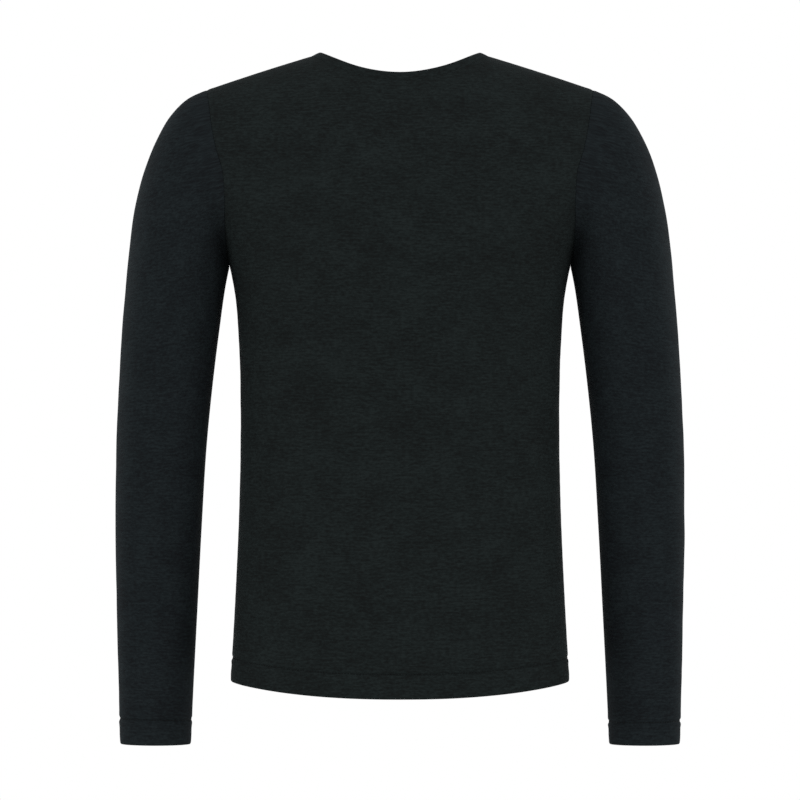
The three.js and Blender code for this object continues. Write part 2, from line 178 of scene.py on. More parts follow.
def body_point(panel, angle, level):
    """A point on the wearer's right of the body. Angle 0 is the panel's middle, a quarter turn its side."""
    rise = min(1, max(0, (level - ARMPIT_Z) / (SHOULDER_Z - ARMPIT_Z)))
    across = math.sin(angle) ** (2 / BODY_SQUARENESS)
    x = read_table(BODY_SECTIONS, 1, level) * across
    power = mix(panel["crown_middle"], panel["crown_side"], math.sin(angle) ** 2)
    crown = (1 - rise**power) ** (1 / power)
    round_off = max(math.cos(angle), 0) ** (2 / BODY_SQUARENESS) * crown
    y = panel["facing"] * read_table(BODY_SECTIONS, panel["depth"], level) * round_off
    near_hem = 1 - smooth(level, HEM_LEVEL, HEM_LEVEL + HEM_SWEEP_FADES)
    sweep = HEM_SWEEP * (1 - across**HEM_SWEEP_POWER) * near_hem
    return Vector((x, y, level + rise**1.5 * (shoulder_line(x) - SHOULDER_Z) - sweep))


def armhole_angle(panel, rise):
    turned = math.sin(math.pi / 2 * min(1, rise / ARMHOLE_TURN_ENDS))
    return math.pi / 2 - ARMHOLE_TURN * turned - panel["armhole_dip"] * math.sin(math.pi * rise) ** 2


def rise_at(step):
    return (1 - math.cos(math.pi * step)) / 2


SHOULDER_ANGLE = armhole_angle(BACK, 1)
NECK_ANGLE = math.asin((NECK_POINT_X / read_table(BODY_SECTIONS, 1, SHOULDER_Z)) ** (BODY_SQUARENESS / 2))


def above_neckline(panel, angle, rise):
    """How far above the neckline a place on the body lies."""
    p = body_point(panel, angle, level_of(rise))
    return p.z + panel["neck_drop"] * max(0, 1 - (p.x / NECK_POINT_X) ** 2) ** panel["neck_bow"]


def halved(low, high, short_of_it):
    """The place between low and high where a measure stops falling short."""
    for _ in range(30):
        middle = (low + high) / 2
        if short_of_it(middle):
            low = middle
        else:
            high = middle
    return (low + high) / 2


def neckline_rise(panel, angle):
    """Where a column inside the neck point meets the neckline, as a share of the way up to the shoulder."""
    return halved(0, 1, lambda rise: above_neckline(panel, angle, rise) < 0)


def neckline_share(panel, rise, low, high):
    """The same the other way about: how far round the neckline a rise is met, close to the neck point."""
    return halved(low, high, lambda share: above_neckline(panel, share * SHOULDER_ANGLE, rise) > 0)


def surface_out(panel, angle, level):
    """The way straight out of the body's surface."""
    point = body_point(panel, angle, level)
    turn = 1e-3 if angle < math.pi / 4 else -1e-3
    lift = -0.02 if level > ARMHOLE_MIDDLE else 0.02
    round_way = (body_point(panel, angle + turn, level) - point) * math.copysign(1, turn)
    up_way = (body_point(panel, angle, level + lift) - point) * math.copysign(1, lift)
    return (round_way.cross(up_way) * -panel["facing"]).normalized()


def over_seam(point, out, fold):
    """The way up from the armhole seam. Where the cloth folds, at the armpit, it turns out of the armhole."""
    return out.lerp(Vector((0, point.y, point.z - ARMHOLE_MIDDLE)).normalized(), fold)


def armhole_frame(panel, step):
    """The armhole seam at a step from the armpit to the shoulder: a point, the panel's way out, the way across
    the seam on to the sleeve, and how sharply the cloth folds there."""

    def seam_point(s):
        return body_point(panel, armhole_angle(panel, rise_at(s)), level_of(rise_at(s)))

    rise = rise_at(step)
    point = seam_point(step)
    tangent = seam_point(min(1, step + 0.01)) - seam_point(max(0, step - 0.01))
    out = surface_out(panel, armhole_angle(panel, rise), level_of(rise))
    if step in (0, 1):
        tangent = Vector((0, 1, 0))
        out.y = 0
    tangent.normalize()
    out = (out - tangent * out.dot(tangent)).normalized()
    fold = 1 - smooth(step, 0, 0.5)
    across = over_seam(point, out, fold).cross(tangent).normalized()
    if across.x < 0:
        across.negate()
    return point, out, across, fold


def crease_depth(creases, across, along):
    """How far the creases press the cloth in at a place on it. Each is a trough between two low lips."""
    depth = 0
    for x0, z0, x1, z1, x2, z2, deep, wide in creases:
        reach = 4 * wide
        if not min(x0, x1, x2) - reach < across < max(x0, x1, x2) + reach:
            continue
        if not min(z0, z1, z2) - reach < along < max(z0, z1, z2) + reach:
            continue
        best, best_t = 1e9, 0
        ax, az = x0, z0
        for step in range(1, 9):
            t = step / 8
            bx = x0 * (1 - t) ** 2 + 2 * x1 * t * (1 - t) + x2 * t * t
            bz = z0 * (1 - t) ** 2 + 2 * z1 * t * (1 - t) + z2 * t * t
            dx, dz = bx - ax, bz - az
            s = min(1, max(0, ((across - ax) * dx + (along - az) * dz) / (dx * dx + dz * dz)))
            apart = (across - ax - s * dx) ** 2 + (along - az - s * dz) ** 2
            if apart < best:
                best, best_t = apart, (step - 1 + s) / 8
            ax, az = bx, bz
        fade = math.sin(math.pi * min(1, max(0, best_t * 0.86 + 0.07))) ** 0.8
        far = best / wide**2
        depth += deep * fade * (math.exp(-far) - 0.45 * math.exp(-far / 5))
    return depth


def drift(point, seed):
    """The slow unevenness of cloth that is nowhere quite flat."""
    at = Vector((point.x, point.y * 0.6, point.z))
    slow = noise.noise(at / 62 + Vector((seed, 0, 0)))
    return 0.55 * slow + 0.2 * noise.noise(at / 23 + Vector((0, seed, 0)))


def hump(apart, width):
    return math.exp(-((apart / width) ** 2))


def seam_valley(apart):
    """How far a seam pulls the cloth in, at a distance from it, with a low swell beside it."""
    return 0.35 * hump(apart, 1.3) - 0.12 * hump(apart - 4, 2.6)


def neckline_ridge(apart):
    """Below the neckband the cloth lies over the seam's allowances, so it stands up a little along the seam."""
    return 0.1 * hump(apart, 0.5) - 0.42 * hump(apart - 1.3, 1.2)


def stitch_valley(above, pull):
    """The stitches of a turned hem pull it in along their line, and the cloth below them stands fuller."""
    return pull * (1.25 * hump(above, 1.7) - 0.15 * hump(above - 4.6, 2.4) - 0.42 * hump(above + 4.2, 2))


def tightness(u, seed):
    """The machine pulls its thread tighter in some stretches of a row than in others."""
    return 0.86 + 0.2 * math.cos(u / 52 - seed) + 0.12 * math.sin(u / 11 + 2 * seed)


def running_lengths(points, level=False):
    """Lengths along a line of points, or along its plan where only its level run counts."""
    lengths = [0]
    for a, b in zip(points, points[1:]):
        step = b - a
        lengths.append(lengths[-1] + (step.xy.length if level else step.length))
    return lengths


def hem_steps(edge, stitches, way):
    """Places from a folded edge up past its stitch line, close together where the cloth turns or dips."""
    near_edge = [edge + way * d for d in (0, 0.7, 2, 4, 7, 10.5, 14, 17)]
    near_line = [stitches + way * d for d in (-4.2, -3, -2, -1.3, -0.7, 0, 0.7, 1.3, 2, 3, 4.2, 6.5)]
    return near_edge + near_line


STITCH_ROW = hem_steps(0, HEM_HEIGHT, 1).index(HEM_HEIGHT)
HEM_FULL_TO = 17
EDGE_ROUND_TO, EDGE_ROUNDING = 1.6, 0.75
THINNEST = 0.25


def two_faces(p, way, press, above, row, swell):
    """The cloth's outer and inner face where it is pressed in that far. A hem is two layers thick up to its
    stitches, stands a little full below them, and is rounded at its fold."""
    if above < HEM_FULL_TO:
        press -= swell * math.sin(math.pi * smooth(above, 0, HEM_FULL_TO))
    rounding = EDGE_ROUNDING * (1 - above / EDGE_ROUND_TO) ** 2 if above < EDGE_ROUND_TO else 0
    wall = mix(TURNED_CLOTH, CLOTH, smooth(row, STITCH_ROW + 2.2, STITCH_ROW + 3.2))
    face = p - way * (press + rounding)
    return face, face - way * max(THINNEST, wall - 2 * rounding)


NECK_COLUMNS = 28
NECK_END_POINTS = 30
SHOULDER_COLUMNS = 36
PLEATS_FROM = 28
BODY_ROWS = 116
CROWN_ROWS = 72


def half_panel(panel):
    """The right half of a body panel as rows of points from the hem to the top edge, how far up the cut cloth
    each lies, with what the cloth needs to go round over the shoulder, and the ways out along the neckline."""
    neck_share = NECK_ANGLE / SHOULDER_ANGLE
    edge = []
    for i in range(160):
        share = neck_share * math.sin(math.pi / 2 * i / 160)
        edge.append((share, neckline_rise(panel, share * SHOULDER_ANGLE)))
    last_share, last_rise = edge[-1]
    for k in range(1, NECK_END_POINTS):
        rise = 1 - (1 - last_rise) * (1 - k / NECK_END_POINTS) ** 2
        edge.append((neckline_share(panel, rise, last_share, neck_share), rise))
    edge.append((neck_share, 1))
    lengths = running_lengths([body_point(panel, s * SHOULDER_ANGLE, level_of(r)) for s, r in edge])
    columns = []
    side = NECK_COLUMNS + SHOULDER_COLUMNS
    for c in range(NECK_COLUMNS):
        wanted = lengths[-1] * c / NECK_COLUMNS
        i = next(k for k, length in enumerate(lengths) if length >= wanted - 1e-9)
        columns.append((c / side, *edge[i]))
    # three times as close where the pleats run, and closer still beside the seam
    pleated = 3 * (SHOULDER_COLUMNS - PLEATS_FROM) - 2
    places = [*range(PLEATS_FROM), *(PLEATS_FROM + k / 3 for k in range(pleated))]
    places += [share * SHOULDER_COLUMNS for share in (0.9825, 0.9895, 0.995, 1)]
    for place in places:
        beyond = place / SHOULDER_COLUMNS
        columns.append(((NECK_COLUMNS + place) / side, mix(neck_share, 1, beyond), 1))
    levels = hem_steps(HEM_LEVEL, HEM_LEVEL + HEM_HEIGHT, 1)
    start = levels[-1]
    levels += [mix(start, ARMPIT_Z, row / BODY_ROWS) for row in range(1, BODY_ROWS + 1)]
    grid = [[body_point(panel, even * math.pi / 2, level) for even, _, _ in columns] for level in levels]
    up_cloth = [[p.z for p in row] for row in grid]
    profile = [body_point(panel, 0, level_of(k / 200)) for k in range(201)]
    spare = [length - (p.z - ARMPIT_Z) for length, p in zip(running_lengths(profile), profile)]
    steps = [row / CROWN_ROWS for row in range(1, CROWN_ROWS)]
    steps += [1 - 0.5 / CROWN_ROWS, 1 - 0.22 / CROWN_ROWS, 1]
    for step in steps:
        rise = rise_at(step)
        turn = armhole_angle(panel, rise)
        points, marks = [], []
        for even, top, end in columns:
            angle, share = mix(even, top, rise) * turn, rise * (1 - (1 - end) * rise)
            points.append(body_point(panel, angle, level_of(share)))
            k = min(199, int(share * 200))
            over = mix(spare[k], spare[k + 1], share * 200 - k)
            marks.append(points[-1].z + over * math.cos(angle) ** (2 / BODY_SQUARENESS))
        grid.append(points)
        up_cloth.append(marks)
    for step, row in zip([0, *steps], grid[len(levels) - 1 :]):
        seam, _, across, _ = armhole_frame(panel, step)
        row[-1] = seam - across * SEAM_GAP / 2
    necked = columns[: NECK_COLUMNS + 1]
    neck_out = [surface_out(panel, top * SHOULDER_ANGLE, level_of(end)) for _, top, end in necked]
    return grid, up_cloth, neck_out


def grid_normals(grid, wraps=False):
    """The way out at each point of a grid. Seen from outside, its rows go up and its columns to the right."""
    rows, columns = len(grid), len(grid[0])
    out = []
    for r in range(rows):
        above, below = grid[min(r + 1, rows - 1)], grid[max(r - 1, 0)]
        line = []
        for c in range(columns):
            if wraps:
                left, right = grid[r][c - 1], grid[r][(c + 1) % columns]
            else:
                left, right = grid[r][max(c - 1, 0)], grid[r][min(c + 1, columns - 1)]
            line.append((right - left).cross(above[c] - below[c]).normalized())
        out.append(line)
    return out


def new_object(name, data):
    made = bpy.data.objects.new(name, data)
    bpy.context.scene.collection.objects.link(made)
    return made


def cloth_shell(name, outer, inner, flat, wraps=False):
    """A thin closed shell from its outer and inner grids. flat gives each point's place on the cut cloth."""
    rows, columns = len(outer), len(outer[0])
    points = [tuple(p * MM) for grid in (outer, inner) for row in grid for p in row]
    half = rows * columns
    faces, marks = [], []
    across = columns if wraps else columns - 1

    def quad(corners):
        faces.append([layer * half + r * columns + c % columns for layer, r, c in corners])
        marks.extend(flat[r][c] for _, r, c in corners)

    for r in range(rows - 1):
        for c in range(across):
            quad([(0, r, c), (0, r, c + 1), (0, r + 1, c + 1), (0, r + 1, c)])
            quad([(1, r, c), (1, r + 1, c), (1, r + 1, c + 1), (1, r, c + 1)])
    for c in range(across):
        quad([(0, 0, c), (1, 0, c), (1, 0, c + 1), (0, 0, c + 1)])
        quad([(0, rows - 1, c), (0, rows - 1, c + 1), (1, rows - 1, c + 1), (1, rows - 1, c)])
    if not wraps:
        for r in range(rows - 1):
            quad([(0, r, 0), (0, r + 1, 0), (1, r + 1, 0), (1, r, 0)])
            quad([(0, r, across), (1, r, across), (1, r + 1, across), (0, r + 1, across)])
    mesh = bpy.data.meshes.new(name)
    mesh.from_pydata(points, [], faces)
    uv = mesh.uv_layers.new(name="flat")
    for loop, mark in zip(uv.data, marks):
        loop.uv = mark
    mesh.polygons.foreach_set("use_smooth", [True] * len(faces))
    mesh.validate()
    return new_object(name, mesh)


def body_panel(name, panel, creases, seed):
    """Both halves of a body panel, creased, with its hem folded up inside. Gives the piece and its grids."""
    half, up_cloth, neck_out = half_panel(panel)
    mirror = [[Vector((-p.x, p.y, p.z)) for p in row[:0:-1]] for row in half]
    grid = [left + row for left, row in zip(mirror, half)]
    up_cloth = [row[:0:-1] + row for row in up_cloth]
    if panel["facing"] > 0:
        grid = [row[::-1] for row in grid]
    clear = Vector((0, panel["facing"] * SEAM_GAP / 2, 0))
    grid = [[p + clear for p in row] for row in grid]
    out = grid_normals(grid)
    rows, columns = len(grid), len(grid[0])
    middle = columns // 2
    for k, way in enumerate(neck_out):
        for side in (-1, 1):
            out[-1][middle - panel["facing"] * side * k] = Vector((side * way.x, way.y, way.z))
    heights = [running_lengths([grid[r][c] for r in range(rows)]) for c in range(columns)]
    outer, inner, flat = ([[] for _ in range(rows)] for _ in range(3))
    for r in range(rows):
        lengths = running_lengths(grid[r])
        plan = running_lengths(grid[r], level=True)
        for c in range(columns):
            p, way = grid[r][c], out[r][c]
            u, above = plan[c] - plan[middle], heights[c][r]
            to_side = min(lengths[c], lengths[-1] - lengths[c])
            to_top = heights[c][-1] - above
            past_stitches = above - heights[c][STITCH_ROW]
            settled = smooth(min(to_side, to_top), 2, 16)
            settled_sharp = smooth(min(to_side, to_top), 0.5, 6)
            side = math.copysign(1, p.x) if p.x else 1
            press = crease_depth(creases, side * abs(u), p.z) * settled_sharp
            press += drift(p, seed) * settled
            past_neck = smooth(abs(p.x), NECK_POINT_X - 3, NECK_POINT_X + 3)
            press += seam_valley(to_side) + mix(neckline_ridge(to_top), seam_valley(to_top), past_neck)
            press += stitch_valley(past_stitches, tightness(u, 0.6))
            pucker = math.sin(u / 1.9 + 2 * math.sin(u / 31)) * hump(past_stitches, 4.5)
            pull = math.sin(above / 2.3 + 2 * math.sin(above / 17))
            press += 0.09 * pucker + 0.08 * pull * hump(to_side, 5) * smooth(to_side, 0, 2)
            face, inside = two_faces(p, way, press, above, r, 0.25)
            outer[r].append(face)
            inner[r].append(inside)
            flat[r].append((u * MM, up_cloth[r][c] * MM))
    made = {"outer": outer, "inner": inner, "out": out, "neckline": list(zip(grid[-1], out[-1]))}
    made["armpit_row"] = rows - 3 - CROWN_ROWS
    return cloth_shell(name, outer, inner, flat), made


def linear(colour):
    """An sRGB hex colour as linear red, green, blue and alpha."""
    parts = [int(colour[i : i + 2], 16) / 255 for i in (1, 3, 5)]
    return [c / 12.92 if c <= 0.04045 else ((c + 0.055) / 1.055) ** 2.4 for c in parts] + [1]


def add_node(tree, kind, inputs=None, **settings):
    """Adds a node. Each input is a value for its socket, or another node's output to link to it."""
    made = tree.nodes.new(kind)
    for name, value in settings.items():
        setattr(made, name, value)
    for key, value in (inputs or {}).items():
        if isinstance(value, bpy.types.NodeSocket):
            tree.links.new(value, made.inputs[key])
        else:
            made.inputs[key].default_value = value
    return made


def math_of(tree, operation, *values):
    return add_node(tree, "ShaderNodeMath", dict(enumerate(values)), operation=operation).outputs[0]


def new_material(name):
    material = bpy.data.materials.new(name)
    material.use_nodes = True
    material.node_tree.nodes.clear()
    return material, material.node_tree


def merino_jersey(name, darkest, middle, lightest):
    """Single jersey knitted from melange yarn: dark and light wool are blended before spinning, so each course
    shows short streaks of lighter and darker yarn. Wool is matt, with a soft bloom at grazing angles."""
    material, tree = new_material(name)
    cut = add_node(tree, "ShaderNodeUVMap", uv_map="flat").outputs["UV"]

    def field(size_u, size_v, detail, offset, distortion=0):
        """Noise whose patches are that many millimetres long and high on the cloth."""
        place = add_node(
            tree,
            "ShaderNodeMapping",
            {"Vector": cut, "Location": (offset, offset, 0), "Scale": (1000 / size_u, 1000 / size_v, 1)},
        ).outputs[0]
        settings = {"Vector": place, "Scale": 1, "Detail": detail, "Roughness": 0.6, "Distortion": distortion}
        return add_node(tree, "ShaderNodeTexNoise", settings, noise_dimensions="2D").outputs["Fac"]

    # The yarn's own streaks are as long as the fibre blend makes them. A course is 0.5 mm high, too fine to
    # show, so the streaks are drawn two or three courses high.
    long_streaks = field(14, 2.3, 1, 3.1)
    short_streaks = field(4.1, 2.0, 1, 7.7)
    clouds = field(50, 36, 2, 5.3, 0.3)
    blend = math_of(tree, "MULTIPLY", long_streaks, 0.33)
    blend = math_of(tree, "MULTIPLY_ADD", short_streaks, 0.43, blend)
    blend = math_of(tree, "MULTIPLY_ADD", clouds, 0.24, blend)
    ramp = add_node(tree, "ShaderNodeValToRGB", {"Fac": blend})
    stops = ramp.color_ramp.elements
    stops[0].position, stops[1].position = 0.36, 0.64
    stops[0].color, stops[1].color = linear(darkest), linear(lightest)
    stops.new(0.5).color = linear(middle)

    # The knit: wales of V-shaped stitches. A real wale is 0.7 mm wide, so it is drawn twice as wide to show.
    parts = add_node(tree, "ShaderNodeSeparateXYZ", {"Vector": cut})
    wale = math_of(tree, "FRACT", math_of(tree, "MULTIPLY", parts.outputs["X"], 1000 / 1.5))
    leg = math_of(tree, "ABSOLUTE", math_of(tree, "SUBTRACT", wale, 0.5))
    course = math_of(tree, "MULTIPLY", parts.outputs["Y"], 1000 / 1.3)
    loop = math_of(tree, "SINE", math_of(tree, "MULTIPLY", math_of(tree, "ADD", course, leg), 2 * math.pi))
    knit = math_of(tree, "MULTIPLY_ADD", loop, 0.25, math_of(tree, "MULTIPLY", leg, -0.9))
    height = math_of(tree, "MULTIPLY_ADD", long_streaks, 2.2, knit)
    height = math_of(tree, "MULTIPLY_ADD", short_streaks, 1.6, height)
    bump = add_node(
        tree, "ShaderNodeBump", {"Height": height, "Strength": 0.25, "Distance": 0.0003}
    ).outputs["Normal"]
    rough = math_of(tree, "MULTIPLY_ADD", short_streaks, 0.2, 0.78)
    shader = add_node(
        tree,
        "ShaderNodeBsdfPrincipled",
        {
            "Base Color": ramp.outputs["Color"],
            "Roughness": rough,
            "Normal": bump,
            "IOR": 1.5,
            "Specular IOR Level": 0.03,
            "Sheen Weight": 0.012,
            "Sheen Roughness": 0.4,
            "Sheen Tint": linear("#aab4ba"),
        },
    )
    add_node(tree, "ShaderNodeOutputMaterial", {"Surface": shader.outputs[0]})
    return material


charcoal = merino_jersey("merino_jersey_charcoal_melange", "#111313", "#151919", "#1a1f1f")

back, back_made = body_panel("top_back", BACK, BACK_CREASES, 1.7)
back.data.materials.append(charcoal)


def matt_thread(name, colours):
    """Texturised polyester sewing thread in the cloth's charcoal, matt. It is drawn a shade darker than the
    cloth, and that extra darkness is painted shade of the groove the stitches lie in.
    """
    material, tree = new_material(name)
    place = add_node(tree, "ShaderNodeTexCoord").outputs["Object"]
    # The plies twist every 0.5 mm, too fine to show, so the light and dark of the twist is drawn at 1 mm.
    twist = add_node(tree, "ShaderNodeTexNoise", {"Vector": place, "Scale": 1000, "Detail": 1}).outputs["Fac"]
    ramp = add_node(tree, "ShaderNodeValToRGB", {"Fac": twist})
    for stop, hex_colour in zip(ramp.color_ramp.elements, colours):
        stop.color = linear(hex_colour)
    bump = add_node(tree, "ShaderNodeBump", {"Height": twist, "Strength": 0.3, "Distance": 0.0001})
    shader = add_node(
        tree,
        "ShaderNodeBsdfPrincipled",
        {
            "Base Color": ramp.outputs["Color"],
            "Normal": bump.outputs[0],
            "Roughness": 0.7,
            "Specular IOR Level": 0.1,
        },
    )
    add_node(tree, "ShaderNodeOutputMaterial", {"Surface": shader.outputs[0]})
    return material


# charcoal thread colours, darker than the cloth as painted shade along the stitch grooves
thread = matt_thread("polyester_thread_charcoal", ("#060707", "#0e1011"))


def new_group(name, inputs):
    """A geometry tree that is to make sewing of a path, still empty, and the sockets of what it is given."""
    tree = bpy.data.node_groups.new(name, "GeometryNodeTree")
    tree.interface.new_socket("Path", in_out="INPUT", socket_type="NodeSocketGeometry")
    tree.interface.new_socket("Sewing", in_out="OUTPUT", socket_type="NodeSocketGeometry")
    for label, kind in inputs:
        tree.interface.new_socket(label, in_out="INPUT", socket_type=kind)
    return tree, add_node(tree, "NodeGroupInput").outputs


def finish_sewing(tree, shape, material):
    real = add_node(tree, "GeometryNodeRealizeInstances", {"Geometry": shape}).outputs[0]
    smoothed = add_node(tree, "GeometryNodeSetShadeSmooth", {"Geometry": real}).outputs[0]
    done = add_node(tree, "GeometryNodeSetMaterial", {"Geometry": smoothed, "Material": material}).outputs[0]
    add_node(tree, "NodeGroupOutput", {0: done})


# Straight stitches: the outer face of a hem row shows one short float of thread after another, each end
# pulled down into the cloth.
straight_stitches, given = new_group(
    "straight_stitches",
    [
        *((label, "NodeSocketFloat") for label in ("Pitch", "Float length", "Thread width", "Unevenness")),
        ("Seed", "NodeSocketInt"),
        ("Thread", "NodeSocketMaterial"),
    ],
)
tree = straight_stitches
path = add_node(tree, "GeometryNodeMeshToCurve", {"Mesh": given["Path"]}).outputs[0]
spaced = add_node(tree, "GeometryNodeResampleCurve", {"Curve": path, "Length": given["Pitch"]}, mode="LENGTH")
along = add_node(tree, "GeometryNodeInputTangent").outputs[0]
turned = add_node(tree, "FunctionNodeAlignRotationToVector", {"Vector": along}, axis="X").outputs[0]
least = math_of(tree, "SUBTRACT", 1, given["Unevenness"])
vary = add_node(tree, "FunctionNodeRandomValue", {2: least, 3: 1, "Seed": given["Seed"]}, data_type="FLOAT")
half_float = math_of(tree, "MULTIPLY", math_of(tree, "MULTIPLY", given["Float length"], 0.5), vary.outputs[1])
half_width = math_of(tree, "MULTIPLY", given["Thread width"], 0.5)
size = add_node(tree, "ShaderNodeCombineXYZ", {"X": half_float, "Y": half_width, "Z": half_width}).outputs[0]
float_shape = add_node(tree, "GeometryNodeMeshUVSphere", {"Segments": 6, "Rings": 4, "Radius": 1}).outputs[0]
placed = add_node(
    tree,
    "GeometryNodeInstanceOnPoints",
    {"Points": spaced.outputs[0], "Instance": float_shape, "Rotation": turned, "Scale": size},
)
finish_sewing(tree, placed.outputs[0], given["Thread"])

# Looped thread: inside the top the overlocker and the coverstitch lay thread to and fro over the raw edge.
looped_thread, given = new_group(
    "looped_thread", [("Thread width", "NodeSocketFloat"), ("Thread", "NodeSocketMaterial")]
)
tree = looped_thread
path = add_node(tree, "GeometryNodeMeshToCurve", {"Mesh": given["Path"]}).outputs[0]
half_width = math_of(tree, "MULTIPLY", given["Thread width"], 0.5)
ring = add_node(tree, "GeometryNodeCurvePrimitiveCircle", {"Resolution": 5, "Radius": half_width}).outputs[0]
drawn = add_node(tree, "GeometryNodeCurveToMesh", {"Curve": path, "Profile Curve": ring, "Fill Caps": True})
finish_sewing(tree, drawn.outputs[0], given["Thread"])


def sewn(name, tree, paths, values):
    """Runs a sewing tree along paths of points, each with whether it closes, and keeps the result as a mesh."""
    points, edges = [], []
    for line, closes in paths:
        first = len(points)
        points.extend(tuple(p * MM) for p in line)
        edges.extend((first + i, first + i + 1) for i in range(len(line) - 1))
        if closes:
            edges.append((first + len(line) - 1, first))
    mesh = bpy.data.meshes.new(name + "_path")
    mesh.from_pydata(points, edges, [])
    guide = new_object(name + "_path", mesh)
    sewing = guide.modifiers.new("sewing", "NODES")
    sewing.node_group = tree
    for item in tree.interface.items_tree:
        if item.in_out == "INPUT" and item.name in values:
            sewing[item.identifier] = values[item.name]
    evaluated = guide.evaluated_get(bpy.context.evaluated_depsgraph_get())
    result = bpy.data.meshes.new_from_object(evaluated)
    bpy.data.objects.remove(guide)
    result.name = name
    piece = new_object(name, result)
    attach(piece, "root")
    return piece


HEM_STITCHES = {
    "Pitch": 0.0031,
    "Float length": 0.0027,
    "Thread width": 0.0009,
    "Unevenness": 0.15,
    "Seed": 4,
    "Thread": thread,
}
OVERLOCK = {"Thread width": 0.00035, "Thread": thread}


def inwards(points, distance):
    """The place at a distance along a line of points, or before its start where that is less than 0."""
    if distance <= 0:
        return points[0] + (points[0] - points[1]).normalized() * -distance
    for a, b in zip(points, points[1:]):
        step = (b - a).length
        if distance <= step:
            return a.lerp(b, distance / step)
        distance -= step
    return points[-1]


def seam_allowance(name, stations):
    """The two raw edges of a seam, trimmed to 6 mm, overlocked together and pressed flat against the inside.
    A station is a line of points on the inner face, from the seam inwards, and the way out of the cloth."""
    reach = (-0.9, 0, 1.5, 3.2, 4.8, 6)
    lift = (0.75, 1.25, 1.4, 1.4, 1.3, 0.7)
    near = [[inwards(line, d) - way * 0.02 for d in reach] for line, way in stations]
    far = [[inwards(line, d) - way * h for d, h in zip(reach, lift)] for line, way in stations]
    lengths = running_lengths([row[2] for row in near])
    flat = [[(length * MM, d * MM) for d in reach] for length in lengths]
    strip = cloth_shell(name, near, far, flat)
    strip.data.materials.append(charcoal)
    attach(strip, "root")
    return strip


def to_and_fro(lengths, wanted, pitch):
    """Every pitch along a run of stations, the next station, how far that is reached, and the side in turn."""
    side = 0
    for k in range(1, len(lengths)):
        while lengths[k] >= wanted:
            yield k, (wanted - lengths[k - 1]) / (lengths[k] - lengths[k - 1]), side
            wanted += pitch
            side = 1 - side


def overlock_path(stations):
    """Thread that goes to and fro over a seam allowance, about every 1.4 mm."""
    middle = running_lengths([inwards(line, 3) for line, _ in stations])
    near, far = ([inwards(line, d) - way * h for line, way in stations] for d, h in ((1, 1.45), (5.9, 0.9)))
    stops = to_and_fro(middle, 0.7, 1.4)
    return [(near, far)[side][k - 1].lerp((near, far)[side][k], share) for k, share, side in stops]


def hem_looper_path(made):
    """Thread of the coverstitch over the raw edge of the hem, inside, from one side of a panel to the other."""
    low, high = made["inner"][STITCH_ROW - 2], made["inner"][STITCH_ROW + 4]
    path = []
    for k, share, side in to_and_fro(running_lengths(low), 1.5, 1.5):
        line = (low, high)[side]
        path.append(line[k - 1].lerp(line[k], share) - made["out"][STITCH_ROW][k] * 0.25)
    return path


# The allowances of the side, shoulder and neckline seams are pressed on to the back.
inner, out = back_made["inner"], back_made["out"]
last_row, last_column = len(inner) - 1, len(inner[0]) - 1
side_rows = range(STITCH_ROW + 3, back_made["armpit_row"])
runs = [
    [([inner[r][edge + step * k] for k in range(8)], out[r][edge]) for r in side_rows]
    for edge, step in ((0, 1), (last_column, -1))
]
runs.append([([inner[last_row - k][c] for k in range(8)], out[last_row][c]) for c in range(2, last_column - 1)])
back_allowances = [
    seam_allowance(f"back_allowance_{label}", run) for label, run in zip(("left", "right", "top"), runs)
]
back_overlock = sewn("back_overlock", looped_thread, [(overlock_path(run), False) for run in runs], OVERLOCK)
back_looper = sewn("back_hem_looper", looped_thread, [(hem_looper_path(back_made), False)], OVERLOCK)


def hem_row(made):
    """The hem's stitches lie in their groove, half sunk."""
    return [p + way * 0.12 for p, way in zip(made["outer"][STITCH_ROW], made["out"][STITCH_ROW])]


back_hem_stitches = sewn("back_hem_stitches", straight_stitches, [(hem_row(back_made), False)], HEM_STITCHES)

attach(back, "root")
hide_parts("back")


# ---------------------------------------------------------------------------------------------------------
# The front: the same jersey, cut like the back but fuller over the chest and with a lower, rounder neckline.
# It is joined to the back at the shoulders and down the sides. It isn't seen in the photograph, so it is plain.

FRONT = {
    "facing": 1,
    "depth": 3,
    "crown_middle": 2.05,
    "crown_side": 2.6,
    "armhole_dip": math.radians(4),
    "neck_drop": 92,
    "neck_bow": 0.6,
    "band_lift": -0.1,
}
FRONT_CREASES = [
    # pulls from the armpits across the chest
    (-214, -206, -176, -196, -122, -202, 1.2, 9),
    (-212, -232, -160, -238, -92, -228, 1.3, 12),
    (-208, -262, -166, -282, -124, -290, 0.9, 11),
    (216, -210, 170, -204, 130, -212, 1.1, 10),
    (211, -240, 168, -250, 110, -246, 1.2, 11),
    (207, -274, 150, -292, 96, -290, 0.9, 14),
    # slack over the waist
    (-205, -352, -150, -366, -78, -362, 1.2, 12),
    (-204, -398, -168, -410, -116, -414, 0.9, 9),
    (-200, -446, -130, -452, -58, -440, 1.0, 15),
    (204, -340, 162, -352, 108, -350, 1.0, 11),
    (205, -386, 138, -402, 62, -398, 1.2, 13),
    (201, -436, 160, -446, 112, -452, 0.8, 10),
    # hem that hangs in slow waves
    (-130, -566, -126, -612, -128, -660, 0.9, 22),
    (-30, -586, -26, -626, -28, -664, 0.7, 24),
    (84, -572, 80, -618, 78, -662, 0.8, 20),
    (168, -580, 165, -620, 168, -658, 0.6, 16),
]
front, front_made = body_panel("top_front", FRONT, FRONT_CREASES, 8.3)
front.data.materials.append(charcoal)
front_looper = sewn("front_hem_looper", looped_thread, [(hem_looper_path(front_made), False)], OVERLOCK)
front_stitches = sewn("front_hem_stitches", straight_stitches, [(hem_row(front_made), False)], HEM_STITCHES)
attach(front, "root")
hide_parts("front")


